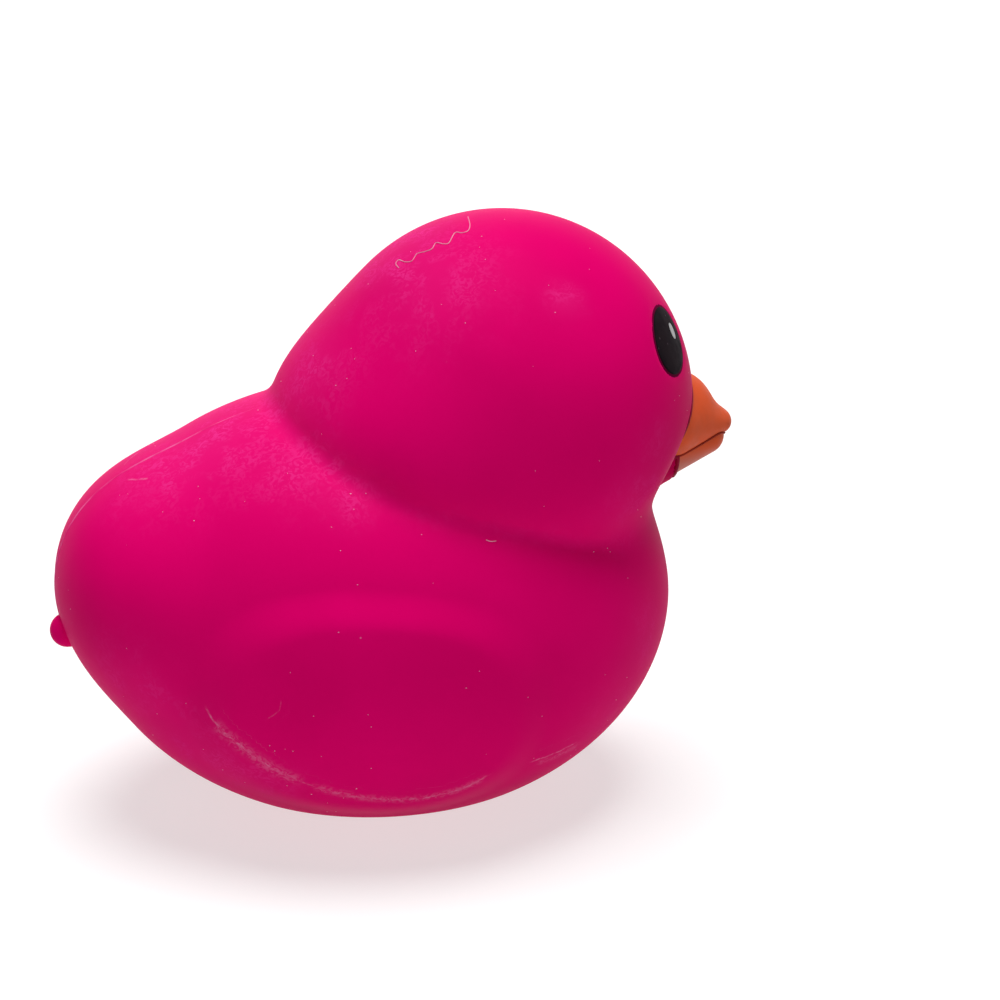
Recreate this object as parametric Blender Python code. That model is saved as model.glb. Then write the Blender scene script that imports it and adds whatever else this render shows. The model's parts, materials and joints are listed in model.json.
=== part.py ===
"""Rubber duck: a hollow vinyl moulding that stands on its flat base, beak towards +X.

The body, head, beak and tail are rounded forms joined into one shell. Smaller copies of the body
and head are hollowed out of it, and a vent hole in the base opens the hollow. Lengths are in metres.
"""

import bmesh
import bpy
import numpy as np
from mathutils import Matrix

# Body: an egg that is deeper below its middle, with a fuller rump and a flat base
BODY_HALF_LENGTH = 0.0380
BODY_HALF_WIDTH = 0.0305
BODY_TOP = 0.0272
BODY_DEPTH = 0.0293
BODY_CENTRE_HEIGHT = 0.0268
BODY_TILT = np.radians(3.5)
RUMP_BEHIND = 0.0249
RUMP_HEIGHT = 0.0302
RUMP_RADIUS = 0.0160
RUMP_HALF_WIDTH = 0.0203
RUMP_ROUNDING = 0.0033
BASE_ROUNDING = 0.0030

# Head: a round crown that widens into the nape behind and below it
HEAD_FORWARD = 0.0164
HEAD_HEIGHT = 0.0512
HEAD_RADIUS = 0.0242
HEAD_HALF_WIDTH = 0.0245
NAPE_FORWARD = 0.0059
NAPE_HEIGHT = 0.0474
NAPE_HALF_LENGTH = 0.0197
NAPE_HALF_WIDTH = 0.0228
NAPE_HALF_HEIGHT = 0.0160
NAPE_TILT = np.radians(9.0)
NAPE_ROUNDING = 0.0055

# Throat: the hollow under the beak, where the head is cut back in a soft curve
THROAT_FORWARD = 0.0433
THROAT_HEIGHT = 0.0358
THROAT_RADIUS = 0.0098
THROAT_HALF_WIDTH = 0.0198
THROAT_ROUNDING = 0.0089

# Beak: an upper half that bulges at its root and tapers to its tip over a shorter lower half
BEAK_SINK = 0.0035
UPPER_LENGTH = 0.0083
UPPER_DROP = 0.0033
UPPER_DROOP = np.radians(9.8)
UPPER_ROOT_RADIUS = 0.0058
UPPER_TIP_RADIUS = 0.0017
UPPER_SPREAD = 1.46
BULGE_FORWARD = 0.0394
BULGE_HEIGHT = 0.0489
BULGE_RADIUS = 0.0044
BULGE_SPREAD = 1.11
BULGE_ROUNDING = 0.0015
LOWER_LENGTH = 0.0062
LOWER_DROP = 0.0070
LOWER_DROOP = np.radians(-6.2)
LOWER_ROOT_RADIUS = 0.0046
LOWER_TIP_RADIUS = 0.0027
LOWER_SPREAD = 1.36

# Tail: a short round-ended nub on the centre line
TAIL_HEIGHT = 0.0245
TAIL_REACH = 0.0018
TAIL_RADIUS = 0.0022

# Wings: a soft raised lozenge on each side of the body
WING_BEHIND = 0.0050
WING_HEIGHT = 0.0207
WING_HALF_LENGTH = 0.0195
WING_HALF_HEIGHT = 0.0148
WING_DROOP = np.radians(6.0)
WING_FULLNESS = 2.4
WING_RELIEF = 0.0010
WING_EDGE = 0.30

# Eyes: shallow oval recesses that follow the head and lean in towards each other at the top
EYE_TURN = np.radians(30.7)
EYE_RISE = np.radians(24.6)
EYE_LEAN = np.radians(30.0)
EYE_HALF_LENGTH = 0.0051
EYE_HALF_WIDTH = 0.0041
EYE_DEPTH = 0.0003

# Shell
WALL = 0.0022
VENT_BEHIND = 0.0120
VENT_RADIUS = 0.0015

VINYL_PINK = (0.74, 0.0, 0.12, 1.0)
VINYL_ROUGHNESS = 0.48

# Mesh fineness, and how far and how often a point is moved to find a form's surface
BODY_SEGMENTS = 60
BODY_RINGS = 34
HEAD_SEGMENTS = 48
HEAD_RINGS = 26
BEAK_SEGMENTS = 28
BEAK_RINGS = 16
TAIL_SEGMENTS = 20
TAIL_RINGS = 12
HOLLOW_SEGMENTS = 36
HOLLOW_RINGS = 20
EYE_SEGMENTS = 28
EYE_RINGS = 3
VENT_SEGMENTS = 24
SEARCH_REACH = 0.12
SEARCH_STEPS = 40


def egg(points, centre, radii, tilt=0.0, depth=None):
    """Distance outside an ellipsoid whose front a positive tilt lowers; negative inside.

    A depth gives the half below its middle a radius of its own.
    """
    shifted = points - np.array(centre)
    along = shifted[:, 0] * np.cos(tilt) - shifted[:, 2] * np.sin(tilt)
    up = shifted[:, 0] * np.sin(tilt) + shifted[:, 2] * np.cos(tilt)
    if depth is not None:
        up = np.where(up > 0, up, up * radii[2] / depth)
    local = np.stack([along, shifted[:, 1], up], axis=1)
    ratio = np.linalg.norm(local / radii, axis=1)
    slope = np.linalg.norm(local / np.square(radii), axis=1)
    return ratio * (ratio - 1) / np.maximum(slope, 1e-9)


def tapered_rod(points, root, root_radius, tip, tip_radius, spread):
    """Distance outside a rod whose round ends differ in size, widened sideways by the spread."""
    narrowed = (points - root) / (1, spread, 1)
    axis = tip - root
    length = np.linalg.norm(axis)
    along = narrowed @ (axis / length)
    sideways = np.sqrt(np.maximum(np.sum(narrowed**2, axis=1) - along**2, 0))
    taper = np.arcsin((root_radius - tip_radius) / length)
    share = np.clip((along - sideways * np.tan(taper)) / length, 0, 1)
    nearest = share[:, None] * axis
    radius = root_radius + (tip_radius - root_radius) * share
    return np.linalg.norm(narrowed - nearest, axis=1) - radius


def joined(first, second, rounding):
    """Two forms as one, with a rounded valley where they meet."""
    share = np.clip(0.5 + 0.5 * (second - first) / rounding, 0, 1)
    return second + (first - second) * share - rounding * share * (1 - share)


def trimmed(form, cut, rounding):
    """A form cut by another, with a rounded edge where they meet."""
    return -joined(-form, -cut, rounding)


def body_form(points, inset=0.0):
    """The body without its wings, made smaller all round by the inset."""
    radii = np.array((BODY_HALF_LENGTH, BODY_HALF_WIDTH, BODY_TOP)) - inset
    belly = egg(points, (0, 0, BODY_CENTRE_HEIGHT), radii, BODY_TILT, BODY_DEPTH - inset)
    rump_radii = np.array((RUMP_RADIUS, RUMP_HALF_WIDTH, RUMP_RADIUS)) - inset
    rump = egg(points, (-RUMP_BEHIND, 0, RUMP_HEIGHT), rump_radii)
    whole = joined(belly, rump, RUMP_ROUNDING)
    return trimmed(whole, inset - points[:, 2], BASE_ROUNDING)


def winged_body_form(points):
    """The body with the wing relief, which fades out across the wing's edge."""
    back = points[:, 0] + WING_BEHIND
    above = points[:, 2] - WING_HEIGHT
    along = (back * np.cos(WING_DROOP) - above * np.sin(WING_DROOP)) / WING_HALF_LENGTH
    up = (back * np.sin(WING_DROOP) + above * np.cos(WING_DROOP)) / WING_HALF_HEIGHT
    edge = (np.abs(along) ** WING_FULLNESS + np.abs(up) ** WING_FULLNESS) ** (1 / WING_FULLNESS)
    fade = np.clip((1 - edge) / WING_EDGE + 0.5, 0, 1)
    return body_form(points) - WING_RELIEF * fade * fade * (3 - 2 * fade)


def head_form(points, inset=0.0):
    """The crown and the nape as one form, cut back under the beak, made smaller all round by the inset."""
    crown_radii = np.array((HEAD_RADIUS, HEAD_HALF_WIDTH, HEAD_RADIUS)) - inset
    crown = egg(points, (HEAD_FORWARD, 0, HEAD_HEIGHT), crown_radii)
    nape_radii = np.array((NAPE_HALF_LENGTH, NAPE_HALF_WIDTH, NAPE_HALF_HEIGHT)) - inset
    nape = egg(points, (NAPE_FORWARD, 0, NAPE_HEIGHT), nape_radii, NAPE_TILT)
    throat_radii = np.array((THROAT_RADIUS, THROAT_HALF_WIDTH, THROAT_RADIUS)) + inset
    throat = egg(points, (THROAT_FORWARD, 0, THROAT_HEIGHT), throat_radii)
    return trimmed(joined(crown, nape, NAPE_ROUNDING), -throat, THROAT_ROUNDING)


def surface_reach(form, starts, rays):
    """How far along each ray from inside a form its surface lies."""
    inner = np.zeros(len(rays))
    outer = np.full(len(rays), SEARCH_REACH)
    for _ in range(SEARCH_STEPS):
        middle = (inner + outer) / 2
        inside = form(starts + rays * middle[:, None]) < 0
        inner = np.where(inside, middle, inner)
        outer = np.where(inside, outer, middle)
    return outer


def finished(name, shape):
    """An object with smooth faces made of a bmesh, which is freed."""
    for face in shape.faces:
        face.smooth = True
    bmesh.ops.recalc_face_normals(shape, faces=shape.faces)
    mesh = bpy.data.meshes.new(name)
    shape.to_mesh(mesh)
    shape.free()
    item = bpy.data.objects.new(name, mesh)
    bpy.context.scene.collection.objects.link(item)
    return item


def swollen_ball(name, form, centre, segments, rings):
    """A ball whose points are moved out from its centre onto the surface of a form."""
    shape = bmesh.new()
    bmesh.ops.create_uvsphere(shape, u_segments=segments, v_segments=rings, radius=1.0)
    rays = np.array([vertex.co.normalized() for vertex in shape.verts])
    places = centre + rays * surface_reach(form, np.array(centre), rays)[:, None]
    for vertex, place in zip(shape.verts, places):
        vertex.co = place
    return finished(name, shape)


def bulged(half, points):
    """A half of the beak with the bulge that fills out its root."""
    bulge_radii = np.array((1, BULGE_SPREAD, 1)) * BULGE_RADIUS
    bulge = egg(points, (BULGE_FORWARD, 0, BULGE_HEIGHT), bulge_radii)
    return joined(half, bulge, BULGE_ROUNDING)


def beak_half(name, drop, droop, length, root_radius, tip_radius, spread, bulges):
    """One half of the beak, whose root lies just inside the head at a drop below its middle."""
    head_centre = np.array((HEAD_FORWARD, 0, HEAD_HEIGHT))
    forward = np.array((1.0, 0, 0))
    face = surface_reach(head_form, head_centre, forward[None])[0]
    root = head_centre + forward * (face - BEAK_SINK) - np.array((0, 0, drop))
    tip = root + length * np.array((np.cos(droop), 0, -np.sin(droop)))

    def rod(points):
        """Distance outside this half of the beak."""
        half = tapered_rod(points, root, root_radius, tip, tip_radius, spread)
        return bulged(half, points) if bulges else half

    return swollen_ball(name, rod, (root + tip) / 2, BEAK_SEGMENTS, BEAK_RINGS)


def beak_halves():
    """The upper and lower halves of the beak."""
    upper = beak_half(
        "beak_upper",
        UPPER_DROP,
        UPPER_DROOP,
        UPPER_LENGTH,
        UPPER_ROOT_RADIUS,
        UPPER_TIP_RADIUS,
        UPPER_SPREAD,
        True,
    )
    lower = beak_half(
        "beak_lower",
        LOWER_DROP,
        LOWER_DROOP,
        LOWER_LENGTH,
        LOWER_ROOT_RADIUS,
        LOWER_TIP_RADIUS,
        LOWER_SPREAD,
        False,
    )
    return upper, lower


def tail_nub():
    """The tail, a round-ended rod that starts on the body's centre line and passes its rear."""
    start = np.array((0, 0, TAIL_HEIGHT))
    backward = np.array((-1.0, 0, 0))
    rear = surface_reach(body_form, start, backward[None])[0]
    tip = start + backward * (rear + TAIL_REACH - TAIL_RADIUS)
    root = tip - backward * (TAIL_REACH + TAIL_RADIUS)

    def rod(points):
        """Distance outside the nub."""
        return tapered_rod(points, root, TAIL_RADIUS, tip, TAIL_RADIUS, 1.0)

    return swollen_ball("tail", rod, tip, TAIL_SEGMENTS, TAIL_RINGS)


def eye_plug(name, side):
    """A thin oval plug whose inner face lies EYE_DEPTH under the head's surface."""
    centre = np.array((HEAD_FORWARD, 0, HEAD_HEIGHT))
    flat = np.cos(EYE_RISE)
    outward = np.array((flat * np.cos(EYE_TURN), side * flat * np.sin(EYE_TURN), np.sin(EYE_RISE)))
    inward = -side * np.cross((0, 0, 1), outward) / flat
    upward = np.array((0, 0, 1)) - outward * outward[2]
    upward /= np.linalg.norm(upward)
    long_axis = inward * np.cos(EYE_LEAN) + upward * np.sin(EYE_LEAN)
    short_axis = upward * np.cos(EYE_LEAN) - inward * np.sin(EYE_LEAN)
    angles = np.arange(EYE_SEGMENTS) * 2 * np.pi / EYE_SEGMENTS
    starts = [centre]
    for ring in range(1, EYE_RINGS + 1):
        share = ring / EYE_RINGS
        for angle in angles:
            lengthways = long_axis * (EYE_HALF_LENGTH * share * np.cos(angle))
            sideways = short_axis * (EYE_HALF_WIDTH * share * np.sin(angle))
            starts.append(centre + lengthways + sideways)
    starts = np.array(starts)
    rays = np.repeat(outward[None], len(starts), axis=0)
    floor = surface_reach(head_form, starts, rays) - EYE_DEPTH
    shape = bmesh.new()
    layers = []
    for height in (floor, floor + 4 * EYE_DEPTH):
        layers.append([shape.verts.new(place) for place in starts + rays * height[:, None]])
    for layer in layers:
        for step in range(EYE_SEGMENTS):
            turned = (step + 1) % EYE_SEGMENTS
            shape.faces.new((layer[0], layer[1 + step], layer[1 + turned]))
            for ring in range(1, EYE_RINGS):
                inner = 1 + (ring - 1) * EYE_SEGMENTS
                outer = inner + EYE_SEGMENTS
                corners = (inner + step, outer + step, outer + turned, inner + turned)
                shape.faces.new([layer[corner] for corner in corners])
    rim = 1 + (EYE_RINGS - 1) * EYE_SEGMENTS
    for step in range(EYE_SEGMENTS):
        turned = (step + 1) % EYE_SEGMENTS
        low, high = layers
        shape.faces.new((low[rim + step], low[rim + turned], high[rim + turned], high[rim + step]))
    return finished(name, shape)


def vent_drill():
    """The rod that opens the base, from under it into the hollow."""
    shape = bmesh.new()
    bmesh.ops.create_cone(
        shape,
        cap_ends=True,
        segments=VENT_SEGMENTS,
        radius1=VENT_RADIUS,
        radius2=VENT_RADIUS,
        depth=4 * WALL,
        matrix=Matrix.Translation((-VENT_BEHIND, 0, 0)),
    )
    return finished("vent_drill", shape)


def apply_tool(item, tool, operation):
    """A union or difference with a tool object that stays out of the build."""
    tool.hide_render = True
    tool.display_type = "WIRE"
    step = item.modifiers.new(tool.name, "BOOLEAN")
    step.operation = operation
    step.solver = "EXACT"
    step.object = tool


def vinyl():
    """The duck's material."""
    material = bpy.data.materials.new("duck_vinyl")
    material.use_nodes = True
    shader = material.node_tree.nodes["Principled BSDF"]
    shader.inputs["Base Color"].default_value = VINYL_PINK
    shader.inputs["Roughness"].default_value = VINYL_ROUGHNESS
    shader.inputs["Metallic"].default_value = 0.0
    return material


def hollow():
    """Smaller copies of the body and head joined, the space inside the shell."""
    body_centre = (0, 0, BODY_CENTRE_HEIGHT)
    head_centre = (HEAD_FORWARD, 0, HEAD_HEIGHT)
    space = swollen_ball(
        "hollow",
        lambda points: body_form(points, WALL),
        body_centre,
        HOLLOW_SEGMENTS,
        HOLLOW_RINGS,
    )
    head_space = swollen_ball(
        "head_hollow",
        lambda points: head_form(points, WALL),
        head_centre,
        HOLLOW_SEGMENTS,
        HOLLOW_RINGS,
    )
    apply_tool(space, head_space, "UNION")
    return space


def build():
    """The duck as one node."""
    for item in list(bpy.data.objects):
        bpy.data.objects.remove(item)
    body_centre = (0, 0, BODY_CENTRE_HEIGHT)
    head_centre = (HEAD_FORWARD, 0, HEAD_HEIGHT)
    duck = swollen_ball("duck", winged_body_form, body_centre, BODY_SEGMENTS, BODY_RINGS)
    head = swollen_ball("head", head_form, head_centre, HEAD_SEGMENTS, HEAD_RINGS)
    duck.data.materials.append(vinyl())
    for tool in (head, *beak_halves(), tail_nub()):
        apply_tool(duck, tool, "UNION")
    apply_tool(duck, hollow(), "DIFFERENCE")
    for name, side in (("eye_right", -1), ("eye_left", 1)):
        apply_tool(duck, eye_plug(name, side), "DIFFERENCE")
    apply_tool(duck, vent_drill(), "DIFFERENCE")


build()
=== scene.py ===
"""Studio dressing for the rubber duck: a matt vinyl shell, painted beak and eyes, dust and lint."""

import json
import logging
from collections.abc import Callable, Sequence
from dataclasses import dataclass, field
from enum import Enum

import bmesh
import bpy
import numpy as np
from mathutils import Matrix, Vector

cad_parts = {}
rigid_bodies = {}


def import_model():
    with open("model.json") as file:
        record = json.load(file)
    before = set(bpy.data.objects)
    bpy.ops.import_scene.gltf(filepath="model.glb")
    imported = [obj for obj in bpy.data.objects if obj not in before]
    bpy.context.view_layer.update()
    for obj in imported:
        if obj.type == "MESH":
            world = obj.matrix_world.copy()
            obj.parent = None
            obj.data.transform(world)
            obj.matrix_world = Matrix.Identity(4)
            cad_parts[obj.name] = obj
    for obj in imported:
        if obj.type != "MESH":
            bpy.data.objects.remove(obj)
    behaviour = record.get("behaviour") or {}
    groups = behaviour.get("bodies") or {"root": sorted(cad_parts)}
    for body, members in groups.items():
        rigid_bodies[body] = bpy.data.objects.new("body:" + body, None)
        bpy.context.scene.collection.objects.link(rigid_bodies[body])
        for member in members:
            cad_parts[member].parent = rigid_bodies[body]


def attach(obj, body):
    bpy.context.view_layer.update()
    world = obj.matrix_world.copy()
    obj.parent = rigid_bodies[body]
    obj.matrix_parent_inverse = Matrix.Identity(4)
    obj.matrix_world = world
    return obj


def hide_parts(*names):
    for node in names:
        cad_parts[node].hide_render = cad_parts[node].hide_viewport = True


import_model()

Points = np.ndarray
Form = Callable[[Points], Points]
Colour = tuple[float, float, float]

LOG = logging.getLogger("duck")
NODE = "duck"
BODY = "root"
SEARCH_REACH = 0.12
SEARCH_STEPS = 34
GRADIENT_STEP = 0.00002
BEAK_SHARP = float(np.radians(35))
SHELL_SHARP = float(np.radians(50))
MARCH_STEPS = 60
MARCH_SHARE = 0.8
MARCH_LIMIT = 0.02
MARCH_START = 0.75
FAR = 9.0


class Slot(Enum):
    """The record's material slots."""

    VINYL = "vinyl_pink"
    BEAK = "beak_orange"
    EYE = "eye_black"
    EYE_LIGHT = "eye_light"


class Side(Enum):
    """The duck's own right and left, as the sign of Y."""

    RIGHT = -1
    LEFT = 1


# Forms


def egg(
    points: Points,
    centre: Sequence[float],
    radii: Points,
    tilt: float = 0.0,
    depth: float | None = None,
) -> Points:
    """Distance outside an ellipsoid; negative inside.

    Args:
        points: places to measure, one per row.
        centre: the middle of the ellipsoid.
        radii: half sizes along X, Y and Z.
        tilt: angle by which the front is tilted down.
        depth: half size below the middle, where it differs from the one above.

    Returns:
        One distance for each place.
    """
    shifted = points - np.array(centre)
    along = shifted[:, 0] * np.cos(tilt) - shifted[:, 2] * np.sin(tilt)
    up = shifted[:, 0] * np.sin(tilt) + shifted[:, 2] * np.cos(tilt)
    if depth is not None:
        up = np.where(up > 0, up, up * radii[2] / depth)
    local = np.stack([along, shifted[:, 1], up], axis=1)
    ratio = np.linalg.norm(local / radii, axis=1)
    slope = np.linalg.norm(local / np.square(radii), axis=1)
    return ratio * (ratio - 1) / np.maximum(slope, 1e-9)


def joined(first: Points, second: Points, rounding: float) -> Points:
    """Two forms as one, with a rounded valley where they meet.

    Args:
        first: distances to one form.
        second: distances to the other.
        rounding: width over which they blend.

    Returns:
        Distances to the joined form.
    """
    share = np.clip(0.5 + 0.5 * (second - first) / rounding, 0, 1)
    return second + (first - second) * share - rounding * share * (1 - share)


def trimmed(form: Points, cut: Points, rounding: float) -> Points:
    """A form cut by another, with a rounded edge where they meet.

    Args:
        form: distances to the form that is kept.
        cut: distances to the form that bounds it.
        rounding: width over which the edge is rounded.

    Returns:
        Distances to the trimmed form.
    """
    return -joined(-form, -cut, rounding)


def smooth_step(share: Points) -> Points:
    """A share from 0 to 1 eased at both ends."""
    held = np.clip(share, 0, 1)
    return held * held * (3 - 2 * held)


def halved(test: Callable[[Points], Points], low: Points, high: Points) -> Points:
    """The values at which a test turns from true to false.

    Args:
        test: true for each value below the turn.
        low: a value below each turn.
        high: a value above each turn.

    Returns:
        One value for each.
    """
    for _ in range(SEARCH_STEPS):
        middle = (low + high) / 2
        below = test(middle)
        low = np.where(below, middle, low)
        high = np.where(below, high, middle)
    return high


def surface_reach(form: Form, starts: Points, rays: Points) -> Points:
    """How far along each ray from inside a form its surface lies.

    Args:
        form: gives distances that are negative inside.
        starts: the point inside from which each ray starts, or one for all.
        rays: unit directions, one per row.

    Returns:
        The distance from each start to the surface.
    """
    far = np.full(len(rays), SEARCH_REACH)
    return halved(lambda reach: form(starts + rays * reach[:, None]) < 0, np.zeros(len(rays)), far)


def outward(form: Form, points: Points) -> Points:
    """Unit normals of a form at places on it.

    Args:
        form: gives distances that are negative inside.
        points: places on the surface.

    Returns:
        One unit vector for each place.
    """
    steps = np.eye(3) * GRADIENT_STEP
    slopes = [form(points + step) - form(points - step) for step in steps]
    normals = np.stack(slopes, axis=1)
    return normals / np.linalg.norm(normals, axis=1)[:, None]


@dataclass(frozen=True)
class TaperedRod:
    """A rod with round ends of two sizes, widened sideways.

    Attributes:
        root: centre of the larger end.
        tip: centre of the smaller end.
        root_radius: radius of the larger end.
        tip_radius: radius of the smaller end.
        spread: how many times wider it is along Y.
    """

    root: Points
    tip: Points
    root_radius: float
    tip_radius: float
    spread: float = 1.0

    def form(self, points: Points) -> Points:
        """Distance outside the rod for each place.

        Args:
            points: places in metres, one per row.

        Returns:
            One distance for each, negative inside.
        """
        narrowed = (points - self.root) / (1, self.spread, 1)
        axis = self.tip - self.root
        length = np.linalg.norm(axis)
        along = narrowed @ (axis / length)
        sideways = np.sqrt(np.maximum(np.sum(narrowed**2, axis=1) - along**2, 0))
        taper = np.arcsin((self.root_radius - self.tip_radius) / length)
        share = np.clip((along - sideways * np.tan(taper)) / length, 0, 1)
        nearest = share[:, None] * axis
        radius = self.root_radius + (self.tip_radius - self.root_radius) * share
        return np.linalg.norm(narrowed - nearest, axis=1) - radius


@dataclass(frozen=True)
class DuckForm:
    """The duck's forms, in the sizes of the CAD model, with the small roundings that it leaves out."""

    body_radii: tuple[float, float, float] = (0.0380, 0.0305, 0.0272)
    body_depth: float = 0.0293
    body_centre: tuple[float, float, float] = (0.0, 0.0, 0.0268)
    body_tilt: float = float(np.radians(3.5))
    rump_radii: tuple[float, float, float] = (0.0160, 0.0203, 0.0160)
    rump_centre: tuple[float, float, float] = (-0.0249, 0.0, 0.0302)
    rump_rounding: float = 0.0033
    base_rounding: float = 0.0030
    head_radii: tuple[float, float, float] = (0.0242, 0.0245, 0.0242)
    head_centre: tuple[float, float, float] = (0.0164, 0.0, 0.0512)
    nape_radii: tuple[float, float, float] = (0.0197, 0.0228, 0.0160)
    nape_centre: tuple[float, float, float] = (0.0059, 0.0, 0.0474)
    nape_tilt: float = float(np.radians(9.0))
    nape_rounding: float = 0.0055
    neck_rounding: float = 0.0013
    front_rounding: float = 0.0069
    front_start: float = 0.0240
    front_reach: float = 0.0120
    wing_centre: tuple[float, float] = (-0.0050, 0.0207)
    wing_halves: tuple[float, float] = (0.0195, 0.0148)
    wing_droop: float = float(np.radians(6.0))
    wing_fullness: float = 2.4
    wing_relief: float = 0.0010
    wing_edge: float = 0.30
    throat_radii: tuple[float, float, float] = (0.0098, 0.0198, 0.0098)
    throat_centre: tuple[float, float, float] = (0.0433, 0.0, 0.0358)
    throat_rounding: float = 0.0089
    beak_sink: float = 0.0035
    upper_length: float = 0.0083
    upper_drop: float = 0.0033
    upper_droop: float = float(np.radians(9.8))
    upper_radii: tuple[float, float] = (0.0058, 0.0017)
    upper_spread: float = 1.46
    bulge_centre: tuple[float, float, float] = (0.0394, 0.0, 0.0489)
    bulge_radius: float = 0.0044
    bulge_spread: float = 1.11
    bulge_rounding: float = 0.0015
    lower_length: float = 0.0062
    lower_drop: float = 0.0070
    lower_droop: float = float(np.radians(-6.2))
    lower_radii: tuple[float, float] = (0.0046, 0.0027)
    lower_spread: float = 1.36
    skin_inset: float = 0.00010
    beak_inset: float = 0.00008
    chin_front: float = 0.0380
    chin_swell: float = 0.00022
    chin_rounding: float = 0.0010
    tail_height: float = 0.0245
    tail_reach: float = 0.0018
    tail_radius: float = 0.0022
    eye_turn: float = float(np.radians(30.7))
    eye_rise: float = float(np.radians(24.6))
    eye_lean: float = float(np.radians(30.0))
    eye_halves: tuple[float, float] = (0.0051, 0.0041)
    eye_depth: float = 0.00012
    eye_bevel: float = 0.12
    shell_centre: tuple[float, float, float] = (0.0050, 0.0, 0.0360)
    wall: float = 0.0022
    vent_behind: float = 0.0120
    vent_radius: float = 0.0015

    def plain_body(self, points: Points, inset: float = 0.0) -> Points:
        """Distance outside the body without its wings, made smaller by the inset.

        Args:
            points: places in metres, one per row.
            inset: how much smaller it is made, in metres.

        Returns:
            One distance for each, negative inside.
        """
        radii = np.array(self.body_radii) - inset
        belly = egg(points, self.body_centre, radii, self.body_tilt, self.body_depth - inset)
        rump = egg(points, self.rump_centre, np.array(self.rump_radii) - inset)
        whole = joined(belly, rump, self.rump_rounding)
        return trimmed(whole, inset - points[:, 2], self.base_rounding)

    def wing_place(self, points: Points) -> tuple[Points, Points]:
        """Where places lie on the wing, as shares of its half length and half height.

        Args:
            points: places in metres, one per row.

        Returns:
            The share along the wing and the share up it for each.
        """
        back = points[:, 0] - self.wing_centre[0]
        above = points[:, 2] - self.wing_centre[1]
        cos, sin = np.cos(self.wing_droop), np.sin(self.wing_droop)
        along = (back * cos - above * sin) / self.wing_halves[0]
        up = (back * sin + above * cos) / self.wing_halves[1]
        return along, up

    def wing_edge_share(self, points: Points) -> Points:
        """How far out on the wing a place is: 0 in its middle, 1 on its edge.

        Args:
            points: places in metres, one per row.

        Returns:
            One share for each.
        """
        along, up = self.wing_place(points)
        power = self.wing_fullness
        return (np.abs(along) ** power + np.abs(up) ** power) ** (1 / power)

    def body(self, points: Points) -> Points:
        """Distance outside the body with its wings."""
        fade = smooth_step((1 - self.wing_edge_share(points)) / self.wing_edge + 0.5)
        return self.plain_body(points) - self.wing_relief * fade

    def head(self, points: Points, inset: float = 0.0) -> Points:
        """Distance outside the head without its beak, made smaller by the inset.

        Args:
            points: places in metres, one per row.
            inset: how much smaller it is made, in metres.

        Returns:
            One distance for each, negative inside.
        """
        crown = egg(points, self.head_centre, np.array(self.head_radii) - inset)
        nape_radii = np.array(self.nape_radii) - inset
        nape = egg(points, self.nape_centre, nape_radii, self.nape_tilt)
        throat = egg(points, self.throat_centre, np.array(self.throat_radii) + inset)
        return trimmed(joined(crown, nape, self.nape_rounding), -throat, self.throat_rounding)

    def beak_rod(
        self, drop: float, droop: float, length: float, ends: Sequence[float], spread: float
    ) -> TaperedRod:
        """One half of the beak, placed from the face.

        Args:
            drop: how far below the middle of the head it starts.
            droop: angle by which it points down.
            length: distance between the centres of its ends.
            ends: radius at the root and at the tip.
            spread: how many times wider than high it is.

        Returns:
            The rod.
        """
        centre = np.array(self.head_centre)
        forward = np.array((1.0, 0.0, 0.0))
        face = surface_reach(self.head, centre, forward[None])[0]
        root = centre + forward * (face - self.beak_sink) - np.array((0, 0, drop))
        tip = root + length * np.array((np.cos(droop), 0, -np.sin(droop)))
        return TaperedRod(root, tip, ends[0], ends[1], spread)

    def upper_beak(self) -> TaperedRod:
        """The upper half of the beak.

        Returns:
            The rod that it is made of.
        """
        return self.beak_rod(
            self.upper_drop, self.upper_droop, self.upper_length, self.upper_radii, self.upper_spread
        )

    def lower_beak(self) -> TaperedRod:
        """The lower half of the beak.

        Returns:
            The rod that it is made of.
        """
        return self.beak_rod(
            self.lower_drop, self.lower_droop, self.lower_length, self.lower_radii, self.lower_spread
        )

    def beak_top(self, points: Points) -> Points:
        """Distance outside the upper half of the beak with the bulge that fills out its root.

        Args:
            points: places in metres, one per row.

        Returns:
            One distance for each, negative inside.
        """
        bulge_radii = np.array((1, self.bulge_spread, 1)) * self.bulge_radius
        bulge = egg(points, self.bulge_centre, bulge_radii)
        return joined(self.upper_beak().form(points), bulge, self.bulge_rounding)

    def beak(self, points: Points) -> Points:
        """Distance outside the whole beak."""
        return np.minimum(self.beak_top(points), self.lower_beak().form(points))

    def skin_of(self, half: Form) -> Form:
        """A half of the beak drawn in by a hair, so that the paint stays inside the CAD model."""
        return lambda points: half(points) + self.beak_inset

    def eye_axes(self, side: Side) -> tuple[Points, Points, Points]:
        """The directions of an eye.

        Args:
            side: which eye.

        Returns:
            The outward direction, the long axis and the short axis.
        """
        flat = np.cos(self.eye_rise)
        out = np.array(
            (flat * np.cos(self.eye_turn), side.value * flat * np.sin(self.eye_turn), np.sin(self.eye_rise))
        )
        inward = -side.value * np.cross((0, 0, 1), out) / flat
        upward = np.array((0, 0, 1)) - out * out[2]
        upward /= np.linalg.norm(upward)
        cos, sin = np.cos(self.eye_lean), np.sin(self.eye_lean)
        return out, inward * cos + upward * sin, upward * cos - inward * sin

    def eye_share(self, points: Points, side: Side) -> Points:
        """How far out from the middle of an eye a place is: 1 on its edge.

        Args:
            points: places in metres, one per row.
            side: which of the two eyes.

        Returns:
            One share for each.
        """
        out, long_axis, short_axis = self.eye_axes(side)
        shifted = points - np.array(self.head_centre)
        far = np.hypot(shifted @ long_axis / self.eye_halves[0], shifted @ short_axis / self.eye_halves[1])
        return np.where(shifted @ out > 0, far, FAR)

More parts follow.
